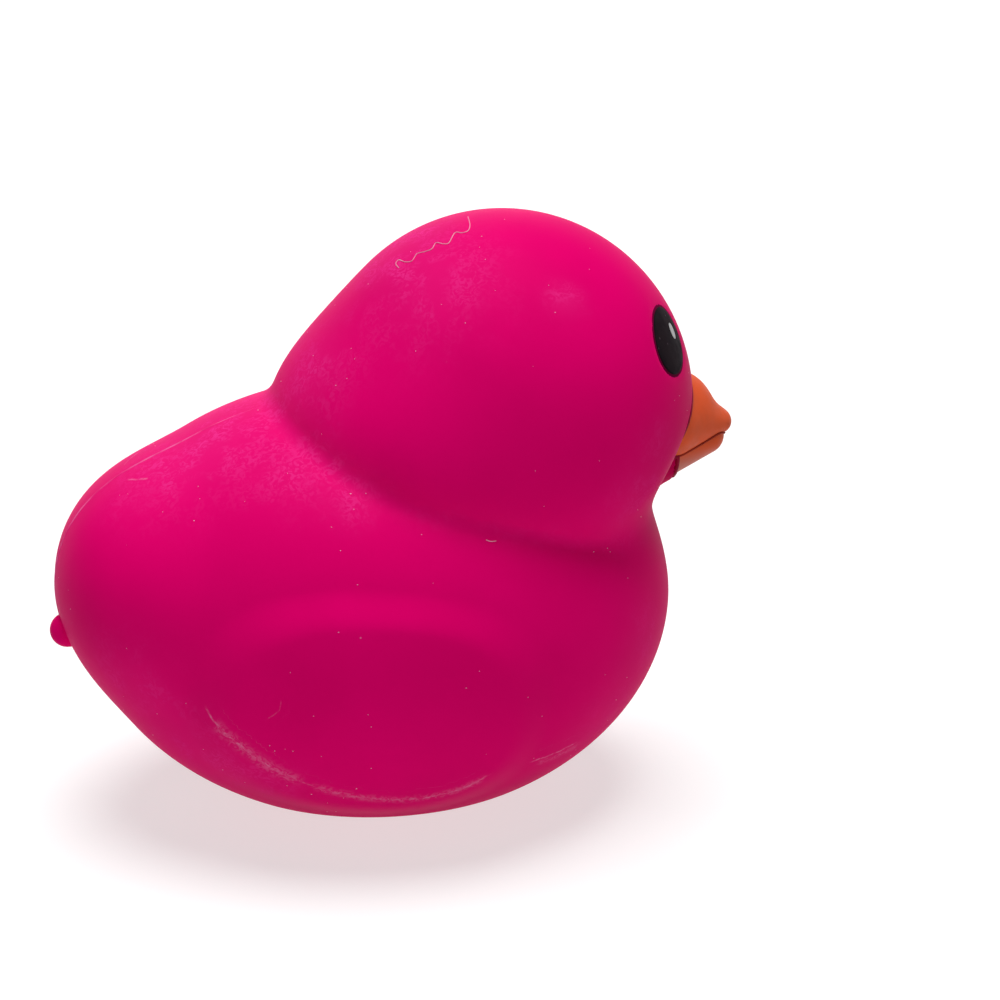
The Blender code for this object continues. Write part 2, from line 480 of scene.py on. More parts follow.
    def shell(self, points: Points) -> Points:
        """Distance outside the whole moulding, without the tail.

        Args:
            points: places in metres, one per row.

        Returns:
            One distance for each, negative inside.
        """
        front = smooth_step((points[:, 0] - self.front_start) / self.front_reach)
        rounding = self.neck_rounding + (self.front_rounding - self.neck_rounding) * front
        chin = np.maximum(self.lower_beak().form(points) - self.chin_swell, points[:, 0] - self.chin_front)
        face = joined(self.head(points), chin, self.chin_rounding)
        whole = joined(self.body(points), face, rounding) + self.skin_inset
        for side in Side:
            sunk = smooth_step((1 - self.eye_share(points, side)) / self.eye_bevel + 1.0)
            whole = whole + self.eye_depth * sunk
        return whole

    def hollow(self, points: Points) -> Points:
        """Distance outside the space inside the shell."""
        return np.minimum(self.plain_body(points, self.wall), self.head(points, self.wall))

    def tail(self) -> TaperedRod:
        """The nub at the rear.

        Returns:
            The rod that it is made of.
        """
        start = np.array((0, 0, self.tail_height))
        backward = np.array((-1.0, 0, 0))
        rear = surface_reach(self.plain_body, start, backward[None])[0]
        tip = start + backward * (rear + self.tail_reach - self.tail_radius)
        root = tip - backward * (self.tail_reach + self.tail_radius)
        return TaperedRod(root, tip, self.tail_radius, self.tail_radius)


# Meshes


def linked(name: str, data: bpy.types.ID) -> bpy.types.Object:
    """A new object made of some data, at the origin and linked to the scene.

    Args:
        name: its name.
        data: a mesh, a lamp or a camera.

    Returns:
        The object.
    """
    item = bpy.data.objects.new(name, data)
    bpy.context.scene.collection.objects.link(item)
    return item


def piece_of(name: str, places: Points, faces: Sequence[Sequence[int]]) -> bpy.types.Object:
    """An object at the origin with smooth faces.

    Args:
        name: the object's name.
        places: one corner per row.
        faces: the corners of each face, counted anticlockwise from outside.

    Returns:
        The object, linked to the scene.
    """
    mesh = bpy.data.meshes.new(name)
    mesh.from_pydata(places, [], faces)
    mesh.validate()
    mesh.shade_smooth()
    return linked(name, mesh)


def cube_ball(steps: int) -> tuple[Points, Points]:
    """Directions and faces of a ball made of the six sides of a cube, with even squares.

    Args:
        steps: squares along each side.

    Returns:
        Unit directions, one per row, and the four corners of each face.
    """
    line = np.arange(steps + 1)
    first, second = np.meshgrid(line, line, indexing="ij")
    lattices = []
    for axis in range(3):
        for end in (0, steps):
            lattice = np.zeros((steps + 1, steps + 1, 3), dtype=int)
            lattice[..., axis] = end
            lattice[..., (axis + 1) % 3] = first if end else second
            lattice[..., (axis + 2) % 3] = second if end else first
            lattices.append(lattice)
    every = np.concatenate([item.reshape(-1, 3) for item in lattices])
    corners, index = np.unique(every, axis=0, return_inverse=True)
    index = index.reshape(6, steps + 1, steps + 1)
    squares = [index[:, :-1, :-1], index[:, 1:, :-1], index[:, 1:, 1:], index[:, :-1, 1:]]
    faces = np.stack([square.reshape(-1) for square in squares], axis=1)
    rays = np.tan((corners / steps - 0.5) * np.pi / 2)
    return rays / np.linalg.norm(rays, axis=1)[:, None], faces


def swollen(name: str, form: Form, centre: Sequence[float], steps: int) -> bpy.types.Object:
    """A ball moved out from its centre onto the surface of a form.

    Args:
        name: the object's name.
        form: gives distances that are negative inside.
        centre: a point inside from which the whole surface can be seen.
        steps: squares along each side of the ball.

    Returns:
        The object.
    """
    rays, faces = cube_ball(steps)
    start = np.array(centre)
    places = start + rays * surface_reach(form, start, rays)[:, None]
    return piece_of(name, places, faces)


def combine(item: bpy.types.Object, tool: bpy.types.Object, operation: str) -> None:
    """Applies a union or difference with a tool, which is then removed.

    Args:
        item: the object that is changed.
        tool: the object that is added or cut away.
        operation: UNION or DIFFERENCE.
    """
    step = item.modifiers.new("combine", "BOOLEAN")
    step.operation = operation
    step.solver = "MANIFOLD"
    step.object = tool
    settled = bpy.data.meshes.new_from_object(item.evaluated_get(bpy.context.evaluated_depsgraph_get()))
    item.modifiers.remove(step)
    item.data = settled
    bpy.data.objects.remove(tool)


def corners_of(item: bpy.types.Object) -> Points:
    """The corners of an object's mesh, one per row.

    Args:
        item: the object.

    Returns:
        Its corners in metres.
    """
    flat = np.empty(len(item.data.vertices) * 3)
    item.data.vertices.foreach_get("co", flat)
    return flat.reshape(-1, 3)


def give_share(item: bpy.types.Object, name: str, values: Points) -> None:
    """Stores one number per corner under a name that a material can read."""
    store = item.data.attributes.new(name, "FLOAT", "POINT")
    store.data.foreach_set("value", values.astype(np.float32))


# Node trees


def add_node(
    tree: bpy.types.NodeTree, kind: str, links: dict[str | int, object], **settings: object
) -> bpy.types.Node:
    """Adds a node to a tree.

    Args:
        tree: the tree.
        kind: the node's type.
        links: what goes into each input, a socket or a plain value, by the input's name or number.
        settings: the node's own properties.

    Returns:
        The node.
    """
    node = tree.nodes.new(kind)
    for label, value in settings.items():
        setattr(node, label, value)
    for label, value in links.items():
        named = (item for item in node.inputs if item.name == label and item.enabled)
        socket = node.inputs[label] if isinstance(label, int) else next(named)
        if isinstance(value, bpy.types.NodeSocket):
            tree.links.new(value, socket)
        else:
            socket.default_value = value
    return node


@dataclass
class GeometryTree:
    """A geometry node tree with named inputs.

    Attributes:
        name: the tree's name.
        inputs: each input's name and its value.
    """

    name: str
    inputs: dict[str, float] = field(default_factory=dict)

    def __post_init__(self) -> None:
        """Makes the tree with its geometry input and output."""
        self.tree = bpy.data.node_groups.new(self.name, "GeometryNodeTree")
        sockets = self.tree.interface
        sockets.new_socket("Geometry", in_out="INPUT", socket_type="NodeSocketGeometry")
        self.ids: dict[str, str] = {}
        for label, value in self.inputs.items():
            kind = "NodeSocketInt" if isinstance(value, int) else "NodeSocketFloat"
            self.ids[label] = sockets.new_socket(label, in_out="INPUT", socket_type=kind).identifier
        sockets.new_socket("Geometry", in_out="OUTPUT", socket_type="NodeSocketGeometry")
        self.source = self.tree.nodes.new("NodeGroupInput")
        self.result = self.tree.nodes.new("NodeGroupOutput")

    def add(self, kind: str, links: dict[str | int, object], **settings: object) -> bpy.types.Node:
        """Adds a node, as add_node does."""
        return add_node(self.tree, kind, links, **settings)

    def given(self, label: str) -> bpy.types.NodeSocket:
        """The socket of a named input inside the tree."""
        return self.source.outputs[label]

    def finish(self, geometry: bpy.types.NodeSocket, material: bpy.types.Material) -> None:
        """Ends the tree in real geometry with a material.

        Args:
            geometry: what the tree makes.
            material: what it is dressed in.
        """
        real = self.add("GeometryNodeRealizeInstances", {"Geometry": geometry})
        dressed = self.add("GeometryNodeSetMaterial", {"Geometry": real.outputs[0], "Material": material})
        self.tree.links.new(dressed.outputs[0], self.result.inputs[0])

    def grow(self, name: str, source: bpy.types.Object) -> bpy.types.Object:
        """Runs the tree on an object, which is then removed.

        Args:
            name: the name of the result.
            source: the object whose geometry goes in.

        Returns:
            A plain mesh object at the origin.
        """
        step = source.modifiers.new(self.name, "NODES")
        step.node_group = self.tree
        for label, value in self.inputs.items():
            step[self.ids[label]] = value
        depsgraph = bpy.context.evaluated_depsgraph_get()
        mesh = bpy.data.meshes.new_from_object(source.evaluated_get(depsgraph))
        mesh.name = name
        source.modifiers.remove(step)
        bpy.data.objects.remove(source)
        return linked(name, mesh)


def polyline(name: str, places: Points, closed: bool, widths: Points) -> bpy.types.Object:
    """A chain of edges that a bead tree can follow.

    Args:
        name: the object's name.
        places: the corners in order.
        closed: whether the last joins the first.
        widths: each corner's share of the bead's radius.

    Returns:
        The object.
    """
    count = len(places)
    edges = [(step, (step + 1) % count) for step in range(count if closed else count - 1)]
    mesh = bpy.data.meshes.new(name)
    mesh.from_pydata(places, edges, [])
    item = linked(name, mesh)
    give_share(item, "width", widths)
    return item


def bead(
    name: str,
    places: Points,
    radius: float,
    material: bpy.types.Material,
    closed: bool,
    widths: Points | None = None,
) -> bpy.types.Object:
    """A round bead swept along a path by geometry nodes.

    Args:
        name: the piece's name.
        places: the path's points in order.
        radius: the bead's radius where its width share is 1.
        material: the bead's finish.
        closed: whether the path is a ring.
        widths: each point's share of the radius; 1 all along if left out.

    Returns:
        The piece.
    """
    shares = np.ones(len(places)) if widths is None else widths
    tree = GeometryTree(name + "_tree", {"Bead radius": radius, "Sides": 8})
    curve = tree.add("GeometryNodeMeshToCurve", {"Mesh": tree.given("Geometry")})
    width = tree.add("GeometryNodeInputNamedAttribute", {"Name": "width"}, data_type="FLOAT")
    ring = tree.add(
        "GeometryNodeCurvePrimitiveCircle",
        {"Resolution": tree.given("Sides"), "Radius": tree.given("Bead radius")},
    )
    swept = tree.add(
        "GeometryNodeCurveToMesh",
        {
            "Curve": curve.outputs[0],
            "Profile Curve": ring.outputs[0],
            "Scale": width.outputs[0],
            "Fill Caps": not closed,
        },
    )
    tree.finish(swept.outputs[0], material)
    item = tree.grow(name, polyline(name + "_path", places, closed, shares))
    item.data.shade_smooth()
    return item


# Materials


class Shader:
    """A material's node tree, with short calls for the nodes that the finishes share."""

    def __init__(self, name: str) -> None:
        """Makes a material with a bare Principled shader.

        Args:
            name: the material's name.
        """
        self.material = bpy.data.materials.new(name)
        self.material.use_nodes = True
        self.tree = self.material.node_tree
        self.surface = self.tree.nodes["Principled BSDF"]
        self.place = self.add("ShaderNodeTexCoord", {}).outputs["Object"]

    def add(self, kind: str, links: dict[str | int, object], **settings: object) -> bpy.types.Node:
        """Adds a node, as add_node does."""
        return add_node(self.tree, kind, links, **settings)

    def fixed(self, values: dict[str, float | tuple[float, ...]]) -> None:
        """Sets values of the shader that are the same all over."""
        for label, value in values.items():
            self.surface.inputs[label].default_value = value

    def into(self, label: str, socket: bpy.types.NodeSocket) -> None:
        """Links a socket into one of the shader's inputs."""
        self.tree.links.new(socket, self.surface.inputs[label])

    def math(self, kind: str, first: object, second: object = 0.0) -> bpy.types.NodeSocket:
        """One step of arithmetic.

        Args:
            kind: the operation.
            first: a socket or a number.
            second: a socket or a number.

        Returns:
            The result's socket.
        """
        return self.add("ShaderNodeMath", {0: first, 1: second}, operation=kind).outputs[0]

    def spread(self, value: bpy.types.NodeSocket, factor: float, base: float) -> bpy.types.NodeSocket:
        """A value times a factor, plus a base."""
        return self.add("ShaderNodeMath", {0: value, 1: factor, 2: base}, operation="MULTIPLY_ADD").outputs[0]

    def noise(
        self, size: float, detail: float = 2.0, rough: float = 0.5, warp: float = 0.0
    ) -> bpy.types.NodeSocket:
        """Soft noise whose lumps are about a given size across.

        Args:
            size: lump size in metres.
            detail: how many finer layers it has.
            rough: how strong those layers are.
            warp: how far it is distorted.

        Returns:
            A value around 0.5.
        """
        sizes = {"Scale": 1 / size, "Detail": detail, "Roughness": rough, "Distortion": warp}
        return self.add("ShaderNodeTexNoise", {"Vector": self.place, **sizes}).outputs["Fac"]

    def cells(self, size: float) -> tuple[bpy.types.NodeSocket, bpy.types.NodeSocket]:
        """Scattered spots about a given size apart.

        Args:
            size: the usual distance between spots in metres.

        Returns:
            The distance to the nearest spot in spot distances, and that spot's random colour.
        """
        node = self.add("ShaderNodeTexVoronoi", {"Vector": self.place, "Scale": 1 / size})
        return node.outputs["Distance"], node.outputs["Color"]

    def height(self) -> bpy.types.NodeSocket:
        """How high a place is above the floor, in metres."""
        return self.add("ShaderNodeSeparateXYZ", {0: self.place}).outputs["Z"]

    def share(self, name: str) -> bpy.types.NodeSocket:
        """A number stored on the mesh."""
        return self.add("ShaderNodeAttribute", {}, attribute_name=name).outputs["Fac"]

    def ease(
        self, value: bpy.types.NodeSocket, low: float, high: float, to: tuple[float, float] = (0, 1)
    ) -> bpy.types.NodeSocket:
        """A value eased from one range onto another.

        Args:
            value: what is eased.
            low: the value that gives the first result.
            high: the value that gives the second.
            to: both results.

        Returns:
            The eased value.
        """
        ends = {"From Min": low, "From Max": high, "To Min": to[0], "To Max": to[1]}
        node = self.add("ShaderNodeMapRange", {"Value": value, **ends}, interpolation_type="SMOOTHSTEP")
        return node.outputs["Result"]

    def mixed(self, share: object, first: object, second: object) -> bpy.types.NodeSocket:
        """Two colours mixed.

        Args:
            share: how much of the second there is.
            first: a colour or a socket.
            second: a colour or a socket.

        Returns:
            The mixed colour.
        """
        full = [item if isinstance(item, bpy.types.NodeSocket) else (*item, 1.0) for item in (first, second)]
        return self.add("ShaderNodeMix", {0: share, 6: full[0], 7: full[1]}, data_type="RGBA").outputs[2]

    def bump(self, height: bpy.types.NodeSocket, depth: float) -> None:
        """Fine relief from a height value.

        Args:
            height: the relief, from 0 to 1.
            depth: its real height in metres.
        """
        node = self.add("ShaderNodeBump", {"Strength": 1.0, "Distance": depth, "Height": height})
        self.into("Normal", node.outputs["Normal"])


@dataclass(frozen=True)
class VinylFinish:
    """Soft matt vinyl, dyed through, with a dust film that also carries painted sheen, painted shade round
    the beak, rubbed edges and fine specks.
    """

    dye: Colour = (0.90, 0.0, 0.172)
    deep: Colour = (0.84, 0.0, 0.158)
    # Pale film colour: dust, and painted sheen where the surface turns away.
    dust_and_sheen: Colour = (0.93, 0.030, 0.28)
    chalk: Colour = (0.93, 0.30, 0.55)
    # Painted shade colour: the shadow in the step round the beak and under the head on the face.
    painted_shade: Colour = (0.46, 0.0, 0.060)

    def material(self) -> bpy.types.Material:
        """The vinyl of the shell.

        Returns:
            The material.
        """
        make = Shader("duck_vinyl")
        make.fixed(
            {
                "Specular IOR Level": 0.012,
                "Specular Tint": (1.0, 0.35, 0.65, 1.0),
                "Sheen Weight": 0.004,
                "Sheen Roughness": 0.5,
                "Sheen Tint": (1.0, 0.3, 0.6, 1.0),
            }
        )
        drift = make.noise(0.022, 3.0)
        base = make.mixed(make.ease(drift, 0.35, 0.65), self.dye, self.deep)
        worms = make.noise(0.0011, 3.0, 0.6, 2.2)
        patches = make.noise(0.0050, 2.0, 0.6, 0.6)
        mottle = make.math("MULTIPLY", make.ease(worms, 0.44, 0.60), make.ease(patches, 0.36, 0.62))
        film = make.spread(mottle, 0.75, 0.25)
        # Mottled dust film that also paints the sheen where the surface turns away.
        dust_and_sheen_share = make.math("MULTIPLY", make.share("dust_and_sheen"), film)
        with_dust_and_sheen = make.mixed(dust_and_sheen_share, base, self.dust_and_sheen)
        streaks = make.noise(0.0009, 2.0, 0.7, 0.8)
        broken = make.ease(streaks, 0.40, 0.60, (0.15, 1.0))
        wander = make.spread(make.noise(0.0016, 2.0), 2.4, -1.2)
        aside = make.math("ADD", make.share("scuff_side"), wander)
        thin = make.ease(make.math("ABSOLUTE", aside), 1.0, 0.2)
        scuff = make.math("MULTIPLY", make.math("MULTIPLY", thin, make.share("scuff")), broken)
        smear = make.math("MULTIPLY", make.share("smear"), make.ease(worms, 0.42, 0.60, (0.1, 1.0)))
        rubbed = make.math("MAXIMUM", scuff, smear)
        chalked = make.mixed(rubbed, with_dust_and_sheen, self.chalk)
        near, tint = make.cells(0.0030)
        lone = make.ease(tint, 0.80, 0.86)
        speck = make.math("MULTIPLY", make.ease(near, 0.045, 0.030), lone)
        # Painted shade along the beak's edge and on the face beside it.
        with_painted_shade = make.mixed(make.math("MULTIPLY", make.share("painted_shade"), 0.85), chalked, self.painted_shade)
        specked = make.mixed(make.math("MULTIPLY", speck, 0.55), with_painted_shade, self.chalk)
        make.into("Base Color", specked)
        make.into("Roughness", make.spread(dust_and_sheen_share, 0.16, 0.50))
        grain = make.noise(0.00035, 2.0)
        make.bump(make.math("ADD", grain, make.math("MULTIPLY", dust_and_sheen_share, 0.5)), 0.000012)
        return make.material


@dataclass(frozen=True)
class PaintFinish:
    """Thin paint on the vinyl, a little uneven, with fine dark or pale specks, and where given a painted
    reflection low down.

    Attributes:
        name: the material's name.
        colour: the paint.
        worn: the colour that it drifts to.
        speck: the specks' colour.
        roughness: how dull it is.
        speck_gap: the usual distance between specks in metres.
        shine: how much it reflects, as the shader's own level.
        pale: a painted reflection of the pink body, the colour that the paint is mixed with low down.
        pale_from: the height in metres at which that starts.
    """

    name: str
    colour: Colour
    worn: Colour
    speck: Colour
    roughness: float
    speck_gap: float
    shine: float = 0.10
    pale: Colour | None = None
    pale_from: float = 0.0

    def material(self) -> bpy.types.Material:
        """The painted surface.

        Returns:
            The material.
        """
        make = Shader(self.name)
        make.fixed({"Specular IOR Level": self.shine})
        drift = make.noise(0.0028, 3.0)
        base = make.mixed(make.ease(drift, 0.38, 0.66), self.colour, self.worn)
        # Painted reflection: paler and pinker towards the bottom, for the pink body's light on the underside.
        if self.pale is not None:
            low = make.ease(make.height(), self.pale_from, self.pale_from - 0.0028, (0.0, 0.8))
            base = make.mixed(low, base, self.pale)
        near, tint = make.cells(self.speck_gap)
        speck = make.math("MULTIPLY", make.ease(near, 0.16, 0.09), make.ease(tint, 0.62, 0.70))
        make.into("Base Color", make.mixed(make.math("MULTIPLY", speck, 0.6), base, self.speck))
        blotch = make.noise(0.0012, 2.0)
        make.into("Roughness", make.ease(blotch, 0.3, 0.7, (self.roughness - 0.05, self.roughness + 0.08)))
        make.bump(make.noise(0.0004, 2.0), 0.000010)
        return make.material


# The beak's lower part takes a painted reflection of the pink chest below it.
BEAK_PAINT = PaintFinish(
    "duck_beak_paint", (0.78, 0.108, 0.034), (0.72, 0.106, 0.037), (0.25, 0.04, 0.02),
    roughness=0.45, speck_gap=0.0021, shine=0.05, pale=(0.56, 0.20, 0.16), pale_from=0.0448,
)
EYE_PAINT = PaintFinish(
    "duck_eye_paint", (0.010, 0.006, 0.009), (0.015, 0.009, 0.012), (0.09, 0.06, 0.08),
    roughness=0.45, speck_gap=0.0012, shine=0.006,
)
RIM_PAINT = PaintFinish(
    "duck_eye_rim", (0.150, 0.001, 0.036), (0.110, 0.001, 0.026), (0.03, 0.0, 0.01),
    roughness=0.6, speck_gap=0.0012, shine=0.004,
)
LIGHT_PAINT = PaintFinish(
    "duck_eye_light", (0.50, 0.50, 0.50), (0.42, 0.42, 0.43), (0.30, 0.29, 0.30),
    roughness=0.35, speck_gap=0.0012,
)
# Painted shade: the dark line in the groove between the beak's halves.
MOUTH_SHADE_PAINT = PaintFinish(
    "duck_mouth_painted_shade_line", (0.38, 0.045, 0.026), (0.30, 0.035, 0.022), (0.12, 0.0, 0.01),
    roughness=0.6, speck_gap=0.0014, shine=0.03,
)
# Painted shade: the dark line at the beak's root stands for the shadow of the step where the beak rises out
# of the face.
ROOT_SHADE_PAINT = PaintFinish(
    "duck_beak_painted_shade_line", (0.30, 0.0, 0.030), (0.22, 0.0, 0.022), (0.12, 0.0, 0.01),
    roughness=0.55, speck_gap=0.0014,
)
# Dust caught on the mould line's ridge, with a painted highlight along it.
FLASH_DUST_AND_HIGHLIGHT = PaintFinish(
    "duck_mould_line_dust_and_highlight", (0.95, 0.120, 0.380), (0.88, 0.020, 0.210), (0.86, 0.20, 0.36),
    roughness=0.50, speck_gap=0.0030,
)
DUST_FLUFF = PaintFinish("duck_dust", (0.88, 0.42, 0.60), (0.92, 0.60, 0.72), (0.9, 0.7, 0.8), 0.8, 0.0010)
LINT_FLUFF = PaintFinish("duck_lint", (0.90, 0.33, 0.52), (0.93, 0.45, 0.62), (0.9, 0.6, 0.7), 0.8, 0.0010)


# The photograph's view


@dataclass(frozen=True)
class PhotoView:
    """The camera, and the places on the duck that a point of the picture shows.

    Attributes:
        turn: how far behind the duck's right side the camera stands.
        rise: how far above the floor's plane it looks from.
        distance: from the camera to the plane through the base's middle.
        scale: pixels to the metre in that plane.
        base_pixel: where the middle of the base lies in the picture.
        picture: the picture's width and height in pixels.
        film: the width of the camera's film in millimetres.
    """

    turn: float = float(np.radians(12.0))
    rise: float = float(np.radians(20.0))
    distance: float = 0.380
    scale: float = 7600.0
    base_pixel: tuple[float, float] = (379.9, 777.6)
    picture: int = 1000
    film: float = 36.0

    def axes(self) -> tuple[Points, Points, Points]:
        """The camera's right, its up and the way back from the duck to it.

        Returns:
            Three directions of length 1.
        """
        flat = np.cos(self.rise)
        back = np.array((-np.sin(self.turn) * flat, -np.cos(self.turn) * flat, np.sin(self.rise)))
        right = np.cross(-back, (0, 0, 1))
        right /= np.linalg.norm(right)
        return right, np.cross(right, -back), back

    def eye(self) -> Points:
        """Where the camera stands.

        Returns:
            Its place in metres.
        """
        right, up, back = self.axes()
        middle = self.picture / 2
        sideways = (middle - self.base_pixel[0]) / self.scale
        upward = (self.base_pixel[1] - middle) / self.scale
        return back * self.distance + right * sideways + up * upward

    def spots(self, pixels: Sequence[tuple[float, float]], form: Form) -> Points:
        """The places on a form that points of the picture show.

        Args:
            pixels: points of the picture.
            form: the form that carries them.

        Returns:
            One place per pixel.
        """
        right, up, back = self.axes()
        middle = self.picture / 2
        offsets = (np.array(pixels) - middle) / (self.scale * self.distance)
        rays = -back + offsets[:, :1] * right - offsets[:, 1:] * up
        rays /= np.linalg.norm(rays, axis=1)[:, None]
        travelled = np.full(len(rays), self.distance * MARCH_START)
        for _ in range(MARCH_STEPS):
            gap = form(self.eye() + rays * travelled[:, None])
            travelled = travelled + MARCH_SHARE * np.clip(gap, -MARCH_LIMIT, MARCH_LIMIT)
        return self.eye() + rays * travelled[:, None]

    def camera(self) -> bpy.types.Object:
        """The scene's camera, aimed as the photograph is.

        Returns:
            The camera.
        """
        lens = bpy.data.cameras.new("photo_camera")
        lens.sensor_width = self.film
        lens.lens = self.film * self.scale * self.distance / self.picture
        lens.clip_start = 0.01
        item = linked("photo_camera", lens)
        turned = Matrix([Vector(axis) for axis in self.axes()]).transposed().to_4x4()
        turned.translation = Vector(self.eye())
        item.matrix_world = turned
        bpy.context.scene.camera = item
        return item


# Sub-assemblies


def settle(item: bpy.types.Object, slot: Slot, material: bpy.types.Material | None = None) -> None:
    """Dresses a piece, fixes it to the duck and reports it.

    Args:
        item: the piece.
        slot: the record's slot that its finish belongs to.
        material: its finish, unless it already has one.
    """
    if material is not None:
        item.data.materials.clear()
        item.data.materials.append(material)
    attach(item, BODY)
    faces = len(item.data.polygons)
    LOG.info("%s: %d faces, %s", item.name, faces, slot.value)


WING_SCUFF = (
    (204, 704), (212, 718), (222, 731), (238, 744), (258, 759), (280, 773), (305, 783),
    (330, 791), (365, 798), (400, 800), (430, 797), (455, 791), (475, 783), (492, 773),
)


@dataclass
class Moulding:
    """The pink shell with its hollow, tail and vent hole.

    Attributes:
        form: the duck's forms.
        view: the photograph's view, which places the marks of wear.
        steps: squares along each side of the ball that the shell is made of.
        hollow_steps: the same for the hollow.
        tail_steps: the same for the tail.
        vent_sides: sides of the vent hole.
        dust_and_sheen_spots: where the dust film shows, partly as painted sheen where the surface turns away,
            as a pixel, a reach in metres and a strength.
        scuffs: thin pale scratches, as points of the picture, a half width in metres and a strength.
        smears: broad pale films, in the same way.
        far_dust_and_sheen: how strong the dust film and its painted sheen are on the left side, as a share of
            the right.
        crease_bloom: the reach and strength of the dust film in the neck crease.
        painted_shade_reach: how far from the beak the painted shade along its edge reaches in the middle,
        and what the sides add.
        painted_shade_side: how far to the side that widening starts, and over what width it grows.
        cheek_reach: how far from the beak the painted shade on the face reaches.
        cheek_painted_shade: how dark that painted shade is beside the beak.
        end_fade: the share of a scuff's length over which it fades at each end.
    """

    form: DuckForm
    view: PhotoView
    steps: int = 120
    hollow_steps: int = 20
    tail_steps: int = 14
    vent_sides: int = 32
    far_dust_and_sheen: float = 0.7
    crease_bloom: tuple[float, float] = (0.0022, 0.15)
    painted_shade_reach: tuple[float, float] = (0.0008, 0.0026)
    painted_shade_side: tuple[float, float] = (0.0020, 0.0050)
    cheek_reach: float = 0.0125
    cheek_painted_shade: float = 0.50
    end_fade: float = 0.12
    dust_and_sheen_spots: tuple[tuple[tuple[float, float], float, float], ...] = (
        ((430, 285), 0.0080, 0.75),
        ((400, 245), 0.0060, 0.80),
        ((565, 300), 0.0025, 0.80),
        ((315, 370), 0.0060, 0.70),
        ((225, 440), 0.0085, 0.85),
        ((300, 470), 0.0050, 0.65),
        ((350, 500), 0.0035, 0.60),
        ((150, 480), 0.0060, 0.60),
        ((640, 495), 0.0045, 0.65),
        ((665, 440), 0.0040, 0.45),
        ((130, 680), 0.0060, 0.50),
        ((190, 745), 0.0065, 0.60),
        ((260, 785), 0.0055, 0.60),
        ((645, 640), 0.0050, 0.50),
        ((605, 715), 0.0050, 0.40),
    )
    scuffs: tuple[tuple[tuple[tuple[float, float], ...], float, float], ...] = (
        (WING_SCUFF[:6], 0.00026, 0.55),
        (WING_SCUFF[5:10], 0.00022, 0.22),
        (WING_SCUFF[9:], 0.00024, 0.50),
        (((530, 762), (545, 757), (562, 750), (577, 742)), 0.00024, 0.50),
        (((281, 700), (280, 710), (272, 716), (264, 721)), 0.00012, 0.16),
        (((128, 479), (138, 480), (148, 479)), 0.00022, 0.34),
    )
    smears: tuple[tuple[tuple[tuple[float, float], ...], float, float], ...] = (
        (WING_SCUFF[1:7], 0.00085, 0.30),
        (WING_SCUFF[6:], 0.00060, 0.34),
        (((535, 764), (555, 757), (580, 744)), 0.00060, 0.22),
    )

    def build(self) -> bpy.types.Object:
        """Makes the shell and dresses it.

        Returns:
            The piece.
        """
        shell = swollen("shell", self.form.shell, self.form.shell_centre, self.steps)
        nub = self.form.tail()
        combine(shell, swollen("nub", nub.form, nub.tip, self.tail_steps), "UNION")
        inside = self.form.shell_centre
        combine(shell, swollen("inside", self.form.hollow, inside, self.hollow_steps), "DIFFERENCE")
        combine(shell, self.vent_drill(), "DIFFERENCE")
        shell.data.shade_smooth()
        shell.data.set_sharp_from_angle(angle=SHELL_SHARP)
        self.store_marks_and_painted_light(shell)
        settle(shell, Slot.VINYL, VinylFinish().material())
        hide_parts(NODE)
        return shell

    def vent_drill(self) -> bpy.types.Object:
        """The rod that opens the base into the hollow.

        Returns:
            The rod, which isn't a piece.
        """
        shape = bmesh.new()
        bmesh.ops.create_cone(
            shape,
            cap_ends=True,
            segments=self.vent_sides,
            radius1=self.form.vent_radius,
            radius2=self.form.vent_radius,
            depth=4 * self.form.wall,
            matrix=Matrix.Translation((-self.form.vent_behind, 0, 0)),
        )
        mesh = bpy.data.meshes.new("vent_drill")
        shape.to_mesh(mesh)
        shape.free()
        return linked("vent_drill", mesh)

    def store_marks_and_painted_light(self, shell: bpy.types.Object) -> None:
        """Stores on each corner how much dust film with painted sheen, painted shade and rubbing it carries.

        Args:
            shell: the finished mesh.
        """
        places = corners_of(shell)
        # Dust film per corner, which also stands for painted sheen where the surface turns away.
        dust_and_sheen = np.zeros(len(places))
        centres = self.view.spots([spot[0] for spot in self.dust_and_sheen_spots], self.form.shell)
        for centre, (_, reach, strength) in zip(centres, self.dust_and_sheen_spots):
            for mirror in (1.0, -1.0):
                away = np.linalg.norm(places - centre * (1, mirror, 1), axis=1)
                dust_and_sheen += strength * np.exp(-((away / reach) ** 2)) * (1.0 if mirror > 0 else self.far_dust_and_sheen)
        gap = np.abs(self.form.body(places) - self.form.head(places))
        dust_and_sheen += self.crease_bloom[1] * np.exp(-((gap / self.crease_bloom[0]) ** 2))
        give_share(shell, "dust_and_sheen", np.clip(dust_and_sheen, 0, 1))
